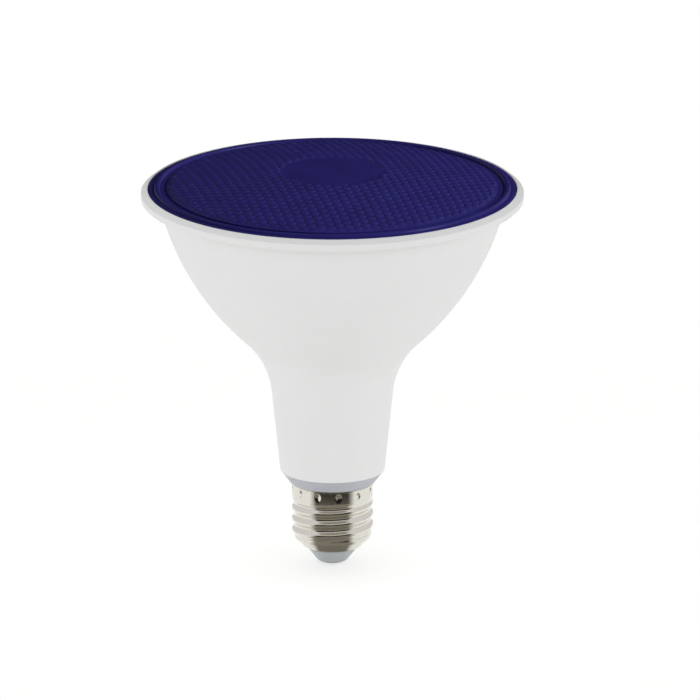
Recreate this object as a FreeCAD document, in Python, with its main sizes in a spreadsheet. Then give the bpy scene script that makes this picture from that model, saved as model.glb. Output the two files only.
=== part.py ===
import FreeCAD, Part
import math
import os
import re

import Sketcher
from FreeCAD import Placement, Rotation, Vector

document = FreeCAD.newDocument("spotlight_bulb")
sheet = document.addObject("Spreadsheet::Sheet", "Sizes")
AXIS = Vector(0, 0, 1)
FULL_TURN = 360.0
QUARTER_TURN = 90.0

# Driving sizes in millimetres and degrees. Heights count from the centre contact's face.
SIZES = {
    # screw cap
    "contact_face_radius": 2.6, "contact_radius": 3.6, "contact_edge": 0.25,
    "contact_shank": 1.5, "contact_bore": 0.45, "contact_bore_floor": 3.0,
    "contact_flare": 2.4, "contact_flare_height": 0.5,
    "tip_height": 0.6, "tip_radius": 4.9, "tip_edge": 1.1, "tip_rise": 0.5, "tip_slope": 0.2,
    "mouth_height": 5.2, "mouth_radius": 8.0, "cone_height": 3.4, "cone_step": 0.5,
    "curl_width": 1.5, "curl_height": 0.65,
    "core_step": 0.35, "thread_depth": 0.9, "thread_pitch": 3.629,
    "thread_crest_height": 9.2, "thread_runout": 2.4,
    "band_radius": 13.0, "band_height": 4.4, "cap_height": 27.0, "bead_swell": 0.35,
    "bead_height": 0.8, "bead_corner": 0.27,
    "shell_wall": 0.35, "seat_clearance": 0.05, "insulator_clearance": 0.1,
    "stake_count": 12, "stake_drop": 1.6, "stake_radius": 0.62, "stake_depth": 0.26,
    "stake_taper": 0.22, "stake_turn": 9.0, "socket_depth": 0.6,
    # driver cup with its collar
    "nose_clearance": 0.15, "nose_lift": 2.4, "nose_wall": 1.4, "seat_drop": 0.6,
    "collar_lip": 0.6, "collar_rise": 4.0, "collar_step": 0.25,
    "ledge_drop": 1.5, "sleeve_wall": 1.4, "sleeve_clearance": 0.1,
    "lid_thickness": 1.2, "lid_spigot": 2.0, "lid_spigot_wall": 1.2, "lid_hole": 5.8,
    "lid_clearance": 0.7,
    # housing
    "neck_radius": 16.7, "neck_taper": 5.93, "neck_run": 26.0, "throat_bend": 27.8,
    "throat_angle": 47.8, "bell_bend": 89.9, "bell_angle": 15.9, "housing_wall": 1.8,
    "rim_height": 7.45, "rim_overhang": 6.57, "rim_bevel_drop": 1.3, "rim_bevel_width": 1.7,
    "rim_band_height": 1.8, "rim_corner": 0.6, "underside_reach": 1.77,
    "underside_rise": 2.05, "underside_bend": 3.0,
    "rim_wall": 2.05, "seat_depth": 3.0,
    # heat sink, light board and its parts
    "sink_clearance": 0.15, "sink_wall": 1.2, "sink_floor": 2.0, "sink_lift": 5.4,
    "sink_drop": 10.0, "wire_hole": 3.2, "screw_hole": 1.25, "screw_margin": 4.1,
    "board_margin": 2.8, "board_thickness": 1.6, "board_hole": 1.6, "screw_count": 3,
    "screw_shank": 1.2, "screw_head": 2.8, "screw_head_height": 1.8, "screw_crown": 0.6,
    "screw_slot": 0.7, "screw_slot_depth": 1.0, "screw_slot_length": 3.0,
    "light_size": 5.0, "light_height": 1.1, "light_notch": 0.9,
    "inner_lights": 4, "outer_lights": 8, "inner_ring": 9.7, "ring_margin": 6.5,
    "plug_length": 8.0, "plug_width": 6.0, "plug_height": 4.0, "plug_place": 4.5,
    # lens
    "gasket_thickness": 0.8, "gasket_width": 4.5, "gasket_margin": 0.45,
    "lens_clearance": 0.25, "lens_edge": 1.8, "lens_wall": 2.3, "foot_rise": 0.35,
    "lens_corner": 0.4, "dome_sag": 5.65, "dome_rise": 6.15, "disc_radius": 15.5,
    "pattern_margin": 5.8, "bead_inset": 2.8, "bead_width": 2.0, "lens_bead_top": 0.9,
    "cell_pitch": 3.27, "cell_turn": -17.5, "cell_height": 0.5,
    # driver board and its parts
    "driver_front": 3.4, "driver_thickness": 1.2, "driver_lift": 6.4,
    "driver_clearance": 0.1,
    "core_width": 13.0, "core_depth": 6.0, "core_height": 12.0, "bobbin_width": 9.4,
    "bobbin_depth": 11.0, "bobbin_height": 9.6, "transformer_gap": 2.4,
    "input_can_radius": 5.0, "input_can_height": 16.0, "input_can_overhang": 0.4,
    "output_can_radius": 4.0, "output_can_height": 11.5, "output_can_gap": 0.8,
    "can_crimp": 0.4, "can_crimp_height": 2.0,
    "choke_radius": 4.0, "choke_flange": 1.2, "choke_height": 9.0, "choke_winding": 3.5,
    "upper_parts_place": 4.6,
    "film_width": 10.0, "film_depth": 5.0, "film_height": 9.0, "film_lift": 1.0, "film_edge": 0.6,
    "fuse_radius": 1.6, "fuse_length": 6.5, "fuse_lead": 0.35, "fuse_lead_reach": 1.4,
    "fuse_place": 6.5, "fuse_gap": 0.6,
    "bridge_width": 4.8, "bridge_depth": 2.4, "bridge_height": 6.6, "bridge_lift": 4.0,
    "chip_width": 4.0, "chip_depth": 1.5, "chip_height": 5.0,
    "chip_place": -4.0, "leg_reach": 0.9, "leg_width": 0.5, "leg_depth": 0.3,
    # wires
    "lead_radius": 0.4, "lead_bend": 2.4, "lead_step": 3.6, "shell_lead_place": 6.0,
    "shell_lead_drop": 0.8, "shell_lead_gap": 0.05, "lamp_wire_radius": 0.7,
    "lamp_wire_bend": 4.2, "lamp_wire_half": 0.85, "lamp_wire_start": 2.2,
    "lamp_wire_rise": 2.0, "lamp_wire_slant": 11.0,
}

# Sizes that follow from the driving ones, so that each piece seats on its neighbour.
FOLLOWING = {
    "thread_core": "band_radius - core_step",
    "cone_radius": "thread_core - cone_step",
    "thread_start": "mouth_height + cone_height",
    "thread_end": "cap_height - band_height",
    "thread_length": "thread_end - thread_start",
    "tip_bend": "(tip_edge^2 + tip_rise^2) / (2 * tip_rise)",
    "shell_inner_radius": "thread_core - thread_depth / 2 - shell_wall",
    "shell_seat_radius": "band_radius - shell_wall - seat_clearance",
    "seat_low": "thread_end + seat_drop",
    "nose_radius": "shell_inner_radius - nose_clearance",
    "nose_height": "thread_start + nose_lift",
    "nose_inner_radius": "nose_radius - nose_wall",
    "collar_low_radius": "band_radius + collar_lip",
    "housing_bottom": "cap_height + collar_rise",
    "throat_start_radius": "neck_radius + neck_run * sin(neck_taper * 1 deg)",
    "throat_start_height": "housing_bottom + neck_run * cos(neck_taper * 1 deg)",
    "bell_start_radius": "throat_start_radius + throat_bend"
                         " * (cos(neck_taper * 1 deg) - cos(throat_angle * 1 deg))",
    "bell_start_height": "throat_start_height + throat_bend"
                         " * (sin(throat_angle * 1 deg) - sin(neck_taper * 1 deg))",
    "bell_end_radius": "bell_start_radius + bell_bend"
                       " * (cos(bell_angle * 1 deg) - cos(throat_angle * 1 deg))",
    "bell_end_height": "bell_start_height + bell_bend"
                       " * (sin(throat_angle * 1 deg) - sin(bell_angle * 1 deg))",
    "bell_centre_radius": "bell_start_radius - bell_bend * cos(throat_angle * 1 deg)",
    "bell_centre_height": "bell_start_height + bell_bend * sin(throat_angle * 1 deg)",
    "rim_top": "bell_end_height + rim_height",
    "rim_radius": "bell_end_radius + rim_overhang",
    "rim_band_low": "rim_top - rim_bevel_drop - rim_band_height",
    "pocket_radius": "rim_radius - rim_wall",
    "seat_floor": "rim_top - seat_depth",
    "seat_inner_radius": "bell_end_radius - housing_wall * cos(bell_angle * 1 deg)",
    "neck_inner_radius": "neck_radius - housing_wall / cos(neck_taper * 1 deg)",
    "sleeve_radius": "neck_inner_radius - sleeve_clearance",
    "ledge_height": "housing_bottom - ledge_drop",
    "ledge_radius": "sleeve_radius - sleeve_wall - ledge_drop * tan(neck_taper * 1 deg)",
    "driver_back": "driver_front + driver_thickness",
    "driver_low": "thread_start + driver_lift",
    "driver_tongue": "sqrt(nose_inner_radius^2 - driver_back^2) - driver_clearance",
    "driver_half": "sqrt(ledge_radius^2 - driver_back^2) - driver_clearance",
    "input_can_low": "driver_low - input_can_overhang",
    "transformer_low": "input_can_low + input_can_height + transformer_gap",
    "output_can_low": "transformer_low + core_height + output_can_gap",
    "driver_high": "output_can_low + output_can_height",
    "sleeve_top": "driver_high + lid_clearance + lid_spigot",
    "sleeve_top_radius": "sleeve_radius + (sleeve_top - housing_bottom)"
                         " * tan(neck_taper * 1 deg)",
    "sink_low": "bell_start_height + sink_lift",
    "sink_face": "sink_low + sink_floor",
    "sink_high": "seat_floor - sink_drop",
    "sink_outer_depth": "housing_wall + sink_clearance",
    "sink_inner_depth": "sink_outer_depth + sink_wall",
    "board_radius": "bell_centre_radius + sqrt((bell_bend - sink_inner_depth)^2"
                    " - (bell_centre_height - sink_face)^2) - board_margin",
    "board_face": "sink_face + board_thickness",
    "screw_ring": "board_radius - screw_margin",
    "outer_ring": "screw_ring - ring_margin",
    "lens_bottom": "seat_floor + gasket_thickness",
    "lens_radius": "pocket_radius - lens_clearance",
    "dome_top": "rim_top + dome_rise",
    "bead_middle": "lens_radius - bead_inset",
    "groove_radius": "bead_middle - bead_width / 2",
    "pattern_radius": "lens_radius - pattern_margin",
    "dome_bend": "(pattern_radius^2 + dome_sag^2) / (2 * dome_sag)",
    "inner_bend": "dome_bend - lens_wall",
    "inner_top": "dome_top - lens_wall",
    "foot_radius": "sqrt(inner_bend^2 - (inner_bend - inner_top + lens_bottom"
                   " + foot_rise)^2)",
    "stake_height": "cap_height - stake_drop",
}

for row, (alias, number) in enumerate(SIZES.items(), start=1):
    sheet.set(f"A{row}", alias.replace("_", " "))
    sheet.set(f"B{row}", str(number))
    sheet.setAlias(f"B{row}", alias)
for row, (alias, formula) in enumerate(FOLLOWING.items(), start=len(SIZES) + 1):
    sheet.set(f"A{row}", alias.replace("_", " "))
    sheet.set(f"B{row}", "=" + formula)
    sheet.setAlias(f"B{row}", alias)
document.recompute()

pieces = []


def size(formula):
    """The number that a formula over the sheet's names gives."""
    return float(sheet.evalExpression(str(formula)))


def bound(formula):
    """The same formula with every name pointed at the sheet."""
    def point(word):
        name = word.group()
        return "Sizes." + name if name in SIZES or name in FOLLOWING else name
    return re.sub(r"[a-z][a-z_]*", point, str(formula))


def bind(item, **formulas):
    """Ties properties of an object to the sheet; a double underscore stands for a dot."""
    for name, formula in formulas.items():
        item.setExpression(name.replace("__", "."), bound(formula))


def place(item, across="0", back="0", up="0"):
    """Moves an object to a place that the sheet gives."""
    bind(item, Placement__Base__x=across, Placement__Base__y=back, Placement__Base__z=up)


# Outlines and bodies


def bent_edge(start, end, radius, turn):
    """An arc from start to end; it bends to the left for turn 1 and to the right for -1."""
    chord = end - start
    side = Vector(-chord.y, chord.x, 0).normalize() * turn
    rise = math.sqrt(max(radius ** 2 - (chord.Length / 2) ** 2, 0))
    centre = (start + end) / 2 + side * rise
    angles = [math.atan2(spot.y - centre.y, spot.x - centre.x) for spot in (start, end)]
    first, last = angles if turn > 0 else reversed(angles)
    return Part.ArcOfCircle(Part.Circle(centre, AXIS, radius), first, last)


def draw_outline(sketch, corners):
    """A closed outline through corners given as formulas (across, up). A third entry
    (radius, turn) makes the stretch to the next corner an arc."""
    spots = [Vector(size(corner[0]), size(corner[1]), 0) for corner in corners]
    ends = []
    for index, corner in enumerate(corners):
        start, end = spots[index], spots[(index + 1) % len(spots)]
        if len(corner) == 3:
            radius, turn = corner[2]
            edge = sketch.addGeometry(bent_edge(start, end, size(radius), turn))
            rule = sketch.addConstraint(Sketcher.Constraint("Radius", edge, size(radius)))
            sketch.setExpression(f"Constraints[{rule}]", bound(radius))
            ends.append((edge, 1, 2) if turn > 0 else (edge, 2, 1))
        else:
            ends.append((sketch.addGeometry(Part.LineSegment(start, end)), 1, 2))
    for index, corner in enumerate(corners):
        edge, head, _ = ends[index]
        last_edge, _, tail = ends[index - 1]
        sketch.addConstraint(Sketcher.Constraint("Coincident", last_edge, tail, edge, head))
        for kind, formula, axis in (("DistanceX", corner[0], -2), ("DistanceY", corner[1], -1)):
            if formula == "0":
                sketch.addConstraint(Sketcher.Constraint("PointOnObject", edge, head, axis))
                continue
            rule = sketch.addConstraint(
                Sketcher.Constraint(kind, -1, 1, edge, head, size(formula)))
            sketch.setExpression(f"Constraints[{rule}]", bound(formula))


def new_body(label):
    body = document.addObject("PartDesign::Body", label)
    body.Label = label
    return body


def new_sketch(body, name, role, offset=None):
    """A sketch on one of the body's own origin planes, moved along its normal by offset."""
    plane = next(item for item in body.Origin.OriginFeatures if item.Role == role)
    sketch = body.newObject("Sketcher::SketchObject", name)
    sketch.AttachmentSupport = (plane, "")
    sketch.MapMode = "FlatFace"
    if offset is not None:
        bind(sketch, AttachmentOffset__Base__z=offset)
    return sketch


def turned_body(label, corners):
    """A piece turned about the upright axis from half its section, as (radius, height)."""
    body = new_body(label)
    sketch = new_sketch(body, label + "_section", "XZ_Plane")
    draw_outline(sketch, corners)
    turn = body.newObject("PartDesign::Revolution", label + "_turn")
    turn.Profile = sketch
    turn.ReferenceAxis = (sketch, ["V_Axis"])
    turn.Angle = FULL_TURN
    sketch.Visibility = False
    return body


def padded_body(label, corners, role, offset, length):
    """A piece of one thickness, with its outline on an origin plane moved by offset."""
    body = new_body(label)
    sketch = new_sketch(body, label + "_outline", role, offset)
    draw_outline(sketch, corners)
    pad = body.newObject("PartDesign::Pad", label + "_pad")
    pad.Profile = sketch
    bind(pad, Length=length)
    sketch.Visibility = False
    return body


def round_hole(body, name, role, offset, depth, radius, across="0", up="0", reverse=False):
    """A round pocket from an origin plane moved by offset."""
    sketch = new_sketch(body, name + "_circle", role, offset)
    centre = Vector(size(across), size(up), 0)
    edge = sketch.addGeometry(Part.Circle(centre, AXIS, size(radius)))
    rule = sketch.addConstraint(Sketcher.Constraint("Radius", edge, size(radius)))
    sketch.setExpression(f"Constraints[{rule}]", bound(radius))
    for kind, formula, axis in (("DistanceX", across, -2), ("DistanceY", up, -1)):
        if formula == "0":
            sketch.addConstraint(Sketcher.Constraint("PointOnObject", edge, 3, axis))
            continue
        rule = sketch.addConstraint(Sketcher.Constraint(kind, -1, 1, edge, 3, size(formula)))
        sketch.setExpression(f"Constraints[{rule}]", bound(formula))
    pocket = body.newObject("PartDesign::Pocket", name)
    pocket.Profile = sketch
    pocket.Reversed = reverse
    bind(pocket, Length=depth)
    sketch.Visibility = False
    return pocket


def around(body, feature, name, count):
    """Repeats a feature round the body's upright axis."""
    upright = next(item for item in body.Origin.OriginFeatures if item.Role == "Z_Axis")
    pattern = body.newObject("PartDesign::PolarPattern", name)
    pattern.Originals = [feature]
    pattern.Axis = (upright, [""])
    pattern.Angle = FULL_TURN
    bind(pattern, Occurrences=count)
    body.Tip = pattern
    return pattern


def block(label, width, depth, height, across, back, up):
    """A box centred on across and standing at back and up."""
    box = document.addObject("Part::Box", label)
    bind(box, Length=width, Width=depth, Height=height)
    place(box, f"{across} - ({width}) / 2", back, up)
    return box


def joined(label, parts):
    """One solid from several that touch or overlap."""
    union = document.addObject("Part::MultiFuse", label)
    union.Shapes = parts
    union.Refine = True
    return union


def finished(item, label):
    """Gives a sub-part the label that names its file and lists it."""
    item.Label = label
    pieces.append(item)
    return item


def plain_feature(label, shape):
    """A sub-part whose shape is worked out below and set as it is."""
    item = document.addObject("Part::Feature", label)
    item.Shape = shape
    item.Placement = Placement()
    return finished(item, label)


def copies_round(label, source, rings):
    """Copies of one solid, each ring as (count, radius, first angle)."""
    document.recompute()
    copies = []
    for count, radius, first in rings:
        for index in range(round(size(count))):
            turn = Rotation(AXIS, first + FULL_TURN * index / size(count))
            copy = source.Shape.copy()
            spot = turn.multVec(Vector(size(radius), 0, 0))
            copy.Placement = Placement(spot, turn).multiply(source.Shape.Placement)
            copies.append(copy)
    return plain_feature(label, Part.makeCompound(copies))


# Housing: one moulded funnel with a flanged rim


def wall_point(name, angle, depth="0"):
    """A joint of the housing's outer line, moved inwards by depth at right angles to it."""
    return (f"{name}_radius - ({depth}) * cos({angle} * 1 deg)",
            f"{name}_height + ({depth}) * sin({angle} * 1 deg)")


def bell_point(height, depth):
    """The point of the bell's line at a height, moved inwards by depth."""
    return (f"bell_centre_radius + sqrt((bell_bend - ({depth}))^2"
            f" - (bell_centre_height - ({height}))^2)", height)


finished(turned_body("housing", [
    ("neck_radius", "housing_bottom"),
    (*wall_point("throat_start", "neck_taper"), ("throat_bend", -1)),
    (*wall_point("bell_start", "throat_angle"), ("bell_bend", 1)),
    (*wall_point("bell_end", "bell_angle"), ("underside_bend", -1)),
    ("bell_end_radius + underside_reach", "bell_end_height + underside_rise"),
    ("rim_radius - rim_corner", "rim_band_low - rim_corner"),
    ("rim_radius", "rim_band_low"),
    ("rim_radius", "rim_top - rim_bevel_drop"),
    ("rim_radius - rim_bevel_width", "rim_top"),
    ("pocket_radius", "rim_top"),
    ("pocket_radius", "seat_floor"),
    ("seat_inner_radius", "seat_floor"),
    (*wall_point("bell_end", "bell_angle", "housing_wall"), ("bell_bend - housing_wall", -1)),
    (*wall_point("bell_start", "throat_angle", "housing_wall"),
     ("throat_bend + housing_wall", 1)),
    wall_point("throat_start", "neck_taper", "housing_wall"),
    ("neck_inner_radius", "housing_bottom"),
]), "housing")


# Heat sink: a pressed cup that wedges into the funnel, with a flat floor for the board

sink = turned_body("heat_sink_cup", [
    ("wire_hole", "sink_low"),
    (*bell_point("sink_low", "sink_outer_depth"), ("bell_bend - sink_outer_depth", 1)),
    bell_point("sink_high", "sink_outer_depth"),
    (*bell_point("sink_high", "sink_inner_depth"), ("bell_bend - sink_inner_depth", -1)),
    bell_point("sink_face", "sink_inner_depth"),
    ("wire_hole", "sink_face"),
])
sink_hole = round_hole(sink, "sink_screw_hole", "XY_Plane", "sink_face", "sink_floor",
                       "screw_hole", "screw_ring")
around(sink, sink_hole, "sink_screw_holes", "screw_count")
finished(sink, "heat_sink_cup")


# Light board, its screws, its light packages and its plug-in terminal

light_board = turned_body("led_board", [
    ("wire_hole", "sink_face"), ("board_radius", "sink_face"),
    ("board_radius", "board_face"), ("wire_hole", "board_face"),
])
board_hole = round_hole(light_board, "board_screw_hole", "XY_Plane", "board_face",
                        "board_thickness", "board_hole", "screw_ring")
around(light_board, board_hole, "board_screw_holes", "screw_count")
finished(light_board, "led_board")

screw = turned_body("board_screw", [
    ("0", "-board_thickness - sink_floor"),
    ("screw_shank", "-board_thickness - sink_floor"),
    ("screw_shank", "0"),
    ("screw_head", "0"),
    ("screw_head", "screw_head_height - screw_crown"),
    ("screw_head - screw_crown", "screw_head_height"),
    ("0", "screw_head_height"),
])
for number, (slot_width, slot_depth) in enumerate((("screw_slot_length", "screw_slot"),
                                                   ("screw_slot", "screw_slot_length"))):
    half_width, half_depth = f"{slot_width} / 2", f"{slot_depth} / 2"
    slot = new_sketch(screw, f"screw_slot_{number}", "XY_Plane", "screw_head_height")
    draw_outline(slot, [(f"-{half_width}", f"-{half_depth}"), (half_width, f"-{half_depth}"),
                        (half_width, half_depth), (f"-{half_width}", half_depth)])
    slot_cut = screw.newObject("PartDesign::Pocket", f"screw_slot_cut_{number}")
    slot_cut.Profile = slot
    bind(slot_cut, Length="screw_slot_depth")
place(screw, up="board_face")
copies_round("board_screws", screw, [("screw_count", "screw_ring", 0)])

light = padded_body("led_package", [
    ("-light_size / 2", "-light_size / 2"),
    ("light_size / 2", "-light_size / 2"),
    ("light_size / 2", "light_size / 2 - light_notch"),
    ("light_size / 2 - light_notch", "light_size / 2"),
    ("-light_size / 2", "light_size / 2"),
], "XY_Plane", "board_face", "light_height")
first_inner = FULL_TURN / size("inner_lights") / 2
first_outer = FULL_TURN / size("outer_lights") / 2
copies_round("led_packages", light, [("inner_lights", "inner_ring", first_inner),
                                     ("outer_lights", "outer_ring", first_outer)])

finished(padded_body("board_connector", [
    ("plug_place", "-plug_width / 2"),
    ("plug_place + plug_length", "-plug_width / 2"),
    ("plug_place + plug_length", "plug_width / 2"),
    ("plug_place", "plug_width / 2"),
], "XY_Plane", "board_face", "plug_height"), "board_connector")


# Lens: a moulded dome with a smooth disc, a field of raised six-sided prisms and a bead


def dome_height(radius):
    """Height of the dome under the prisms at a radius."""
    bend = size("dome_bend")
    return size("dome_top") - bend + math.sqrt(bend ** 2 - radius ** 2)


def dome_spot(spot, share):
    """The dome's point over a share of the way from the axis to a spot."""
    flat = Vector(spot.x * share, spot.y * share, 0)
    return Vector(flat.x, flat.y, dome_height(flat.Length))


# A cell has six sides and is left out when fewer corners than this lie in the pattern.
# The smooth disc is made in steps from the cells to its middle.
CELL_SIDES = 6
LEAST_CORNERS = 2
DISC_STEPS = 3
KEY_DIGITS = 4


def prism_cells():
    """Outlines and peaks of the prisms. Whole cells start outside the smooth disc, and
    those that cross the outer circle are drawn in to it."""
    pitch = size("cell_pitch")
    turn = math.radians(size("cell_turn"))
    disc, limit = size("disc_radius"), size("pattern_radius")
    side_turn = 2 * math.pi / CELL_SIDES
    corner_reach = pitch / 2 / math.cos(side_turn / 2)
    row_rise = pitch * math.sin(side_turn)
    reach = math.ceil(2 * limit / pitch)
    cells = []
    for row in range(-reach, reach + 1):
        for column in range(-reach, reach + 1):
            across, back = pitch * (column + row / 2), row_rise * row
            centre = Vector(across * math.cos(turn) - back * math.sin(turn),
                            across * math.sin(turn) + back * math.cos(turn), 0)
            if not disc + corner_reach / 2 < centre.Length < limit + pitch:
                continue
            corners = []
            inside = 0
            for side in range(CELL_SIDES):
                angle = turn + (side + 0.5) * side_turn
                corner = centre + Vector(math.cos(angle), math.sin(angle), 0) * corner_reach
                if corner.Length > limit:
                    corner = corner * (limit / corner.Length)
                else:
                    inside += 1
                corners.append(corner)
            if inside < LEAST_CORNERS:
                continue
            middle = sum(corners, Vector()) / len(corners)
            spread = min((corner - middle).Length for corner in corners) / corner_reach
            middle.z = dome_height(middle.Length) + size("cell_height") * spread
            for corner in corners:
                corner.z = dome_height(corner.Length)
            cells.append((corners, middle))
    return cells


def flat_face(corners):
    return Part.Face(Part.makePolygon(corners + corners[:1]))


def spot_key(spot):
    return (round(spot.x, KEY_DIGITS), round(spot.y, KEY_DIGITS))


def smooth_disc(loop):
    """Faces of the dome inside the innermost prisms."""
    faces = []
    for start, end in loop:
        for step in range(DISC_STEPS):
            outer, inner = 1 - step / DISC_STEPS, 1 - (step + 1) / DISC_STEPS
            near, far = dome_spot(start, outer), dome_spot(end, outer)
            faces.append(flat_face([near, far, dome_spot(end, inner)]))
            if step < DISC_STEPS - 1:
                faces.append(flat_face([near, dome_spot(end, inner), dome_spot(start, inner)]))
    return faces


def prism_field(groove_height):
    """Faces of the prisms, of the disc inside them and of the wall down to the groove, and
    the loop in which that wall ends."""
    faces = []
    borders = {}
    for corners, peak in prism_cells():
        for start, end in zip(corners, corners[1:] + corners[:1]):
            faces.append(flat_face([start, end, peak]))
            if (spot_key(end), spot_key(start)) in borders:
                del borders[(spot_key(end), spot_key(start))]
            else:
                borders[(spot_key(start), spot_key(end))] = (start, end)
    following = {start_key: edge for (start_key, _), edge in borders.items()}
    loops = []
    while following:
        key = next(iter(following))
        loop = []
        while key in following:
            start, end = following.pop(key)
            loop.append((start, end))
            key = spot_key(end)
        loops.append(loop)
    loops.sort(key=lambda loop: max(start.Length for start, _ in loop))
    faces += smooth_disc(loops[0])
    foot = []
    for start, end in loops[-1]:
        low_start = Vector(start.x, start.y, groove_height)
        low_end = Vector(end.x, end.y, groove_height)
        faces.append(flat_face([start, end, low_end]))
        faces.append(flat_face([start, low_end, low_start]))
        foot.append(low_start)
    return faces, foot


def lens_shape():
    """The lens as one closed skin: prisms, disc, groove floor, and its turned faces."""
    lens_radius, bottom, rim_top = size("lens_radius"), size("lens_bottom"), size("rim_top")
    groove_radius, bead_middle = size("groove_radius"), size("bead_middle")
    bead_end = size("bead_middle + bead_width / 2")
    foot_radius, foot_height = size("foot_radius"), size("lens_bottom + foot_rise")
    inner_bend, inner_top = size("inner_bend"), size("inner_top")
    half_inner = foot_radius / 2
    inner_middle = Vector(half_inner, 0, inner_top - inner_bend
                          + math.sqrt(inner_bend ** 2 - half_inner ** 2))
    corners = [Vector(groove_radius, 0, rim_top),
               Vector(bead_end, 0, rim_top),
               Vector(lens_radius - size("lens_corner"), 0, rim_top),
               Vector(lens_radius, 0, bottom + size("lens_edge")),
               Vector(lens_radius, 0, bottom),
               Vector(foot_radius, 0, bottom),
               Vector(foot_radius, 0, foot_height)]
    bead_crest = Vector(bead_middle, 0, rim_top + size("lens_bead_top"))
    section = [Part.makeLine(start, end) for start, end in zip(corners, corners[1:])]
    section[0] = Part.Arc(corners[0], bead_crest, corners[1]).toShape()
    section.append(Part.Arc(corners[-1], inner_middle, Vector(0, 0, inner_top)).toShape())
    faces, groove_loop = prism_field(rim_top)
    groove_edge = Part.Wire(Part.makeCircle(groove_radius, Vector(0, 0, rim_top), AXIS))
    ragged_edge = Part.makePolygon(groove_loop + groove_loop[:1])
    faces.append(Part.Face(groove_edge).cut(Part.Face(ragged_edge)).Faces[0])
    for edge in section:
        faces.extend(edge.revolve(Vector(), AXIS, FULL_TURN).Faces)
    return closed_solid(faces)


def closed_solid(faces):
    """One solid from faces that meet edge to edge."""
    skin = Part.makeShell(faces)
    skin.sewShape()
    solid = Part.Solid(skin)
    if solid.Volume < 0:
        solid.reverse()
    return solid


plain_feature("front_lens", lens_shape())

finished(turned_body("lens_gasket", [
    ("lens_radius - gasket_margin - gasket_width", "seat_floor"),
    ("lens_radius - gasket_margin", "seat_floor"),
    ("lens_radius - gasket_margin", "lens_bottom"),
    ("lens_radius - gasket_margin - gasket_width", "lens_bottom"),
]), "lens_gasket")


# Driver cup: the insulating sleeve whose collar shows under the housing, and its lid

driver_cup = turned_body("driver_cup", [
    ("nose_inner_radius", "nose_height"),
    ("nose_radius", "nose_height"),
    ("nose_radius", "seat_low"),
    ("shell_seat_radius", "seat_low + shell_seat_radius - nose_radius"),
    ("shell_seat_radius", "cap_height"),
    ("collar_low_radius", "cap_height"),
    ("neck_radius - collar_step", "housing_bottom - collar_step"),
    ("neck_radius - collar_step", "housing_bottom"),
    ("sleeve_radius", "housing_bottom"),
    ("sleeve_top_radius", "sleeve_top"),
    ("sleeve_top_radius - sleeve_wall", "sleeve_top"),
    ("ledge_radius", "ledge_height"),
    ("nose_inner_radius", "ledge_height"),
])
socket = round_hole(driver_cup, "stake_socket", "YZ_Plane", "shell_seat_radius - socket_depth",
                    "2 * socket_depth", "stake_radius + shell_wall", "0", "stake_height",
                    reverse=True)
around(driver_cup, socket, "stake_sockets", "stake_count")
bind(driver_cup, Placement__Rotation__Angle="stake_turn * 1 deg")
finished(driver_cup, "driver_cup")

finished(turned_body("driver_lid", [
    ("lid_hole", "sleeve_top"),
    ("sleeve_top_radius - sleeve_wall - lid_spigot_wall", "sleeve_top"),
    ("sleeve_top_radius - sleeve_wall - lid_spigot_wall", "sleeve_top - lid_spigot"),
    ("sleeve_top_radius - sleeve_wall - lid_spigot * tan(neck_taper * 1 deg)"
     " - sleeve_clearance", "sleeve_top - lid_spigot"),
    ("sleeve_top_radius - sleeve_wall - sleeve_clearance", "sleeve_top"),
    ("sleeve_top_radius", "sleeve_top"),
    ("sleeve_top_radius", "sleeve_top + lid_thickness"),
    ("lid_hole", "sleeve_top + lid_thickness"),
]), "driver_lid")


# Driver board, with its shoulders on the cup's ledge, and the parts soldered to it

finished(padded_body("driver_board", [
    ("-driver_tongue", "driver_low"),
    ("driver_tongue", "driver_low"),
    ("driver_tongue", "ledge_height"),
    ("driver_half", "ledge_height"),
    ("driver_half", "driver_high"),
    ("-driver_half", "driver_high"),
    ("-driver_half", "ledge_height"),
    ("-driver_tongue", "ledge_height"),
], "XZ_Plane", "driver_front", "driver_thickness"), "driver_board")

core_parts = [
    block("transformer_core", "core_width", "core_depth", "core_height", "0",
          "(bobbin_depth - core_depth) / 2 - driver_front", "transformer_low"),
    block("transformer_bobbin", "bobbin_width", "bobbin_depth", "bobbin_height", "0",
          "-driver_front", "transformer_low + (core_height - bobbin_height) / 2"),
]
finished(joined("transformer", core_parts), "transformer")


def can(label, radius, height, across, up):
    """An electrolytic can with its crimped foot, standing against the driver board."""
    body = turned_body(label, [
        ("0", "0"), (f"{radius} - can_crimp", "0"),
        (radius, "can_crimp"),
        (radius, "can_crimp_height - can_crimp"),
        (f"{radius} - can_crimp", "can_crimp_height"),
        (radius, "can_crimp_height + can_crimp"),
        (radius, f"{height} - can_crimp"),
        (f"{radius} - can_crimp", height), ("0", height),
    ])
    place(body, across, f"{radius} - driver_front", up)
    return finished(body, label)


can("input_capacitor", "input_can_radius", "input_can_height", "0", "input_can_low")
can("output_capacitor", "output_can_radius", "output_can_height", "-upper_parts_place",
    "output_can_low")

choke = turned_body("input_choke", [
    ("0", "0"), ("choke_radius", "0"), ("choke_radius", "choke_flange"),
    ("choke_winding", "choke_flange"), ("choke_winding", "choke_height - choke_flange"),
    ("choke_radius", "choke_height - choke_flange"), ("choke_radius", "choke_height"),
    ("0", "choke_height"),
])
place(choke, "upper_parts_place", "choke_radius - driver_front", "output_can_low")
finished(choke, "input_choke")

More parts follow.
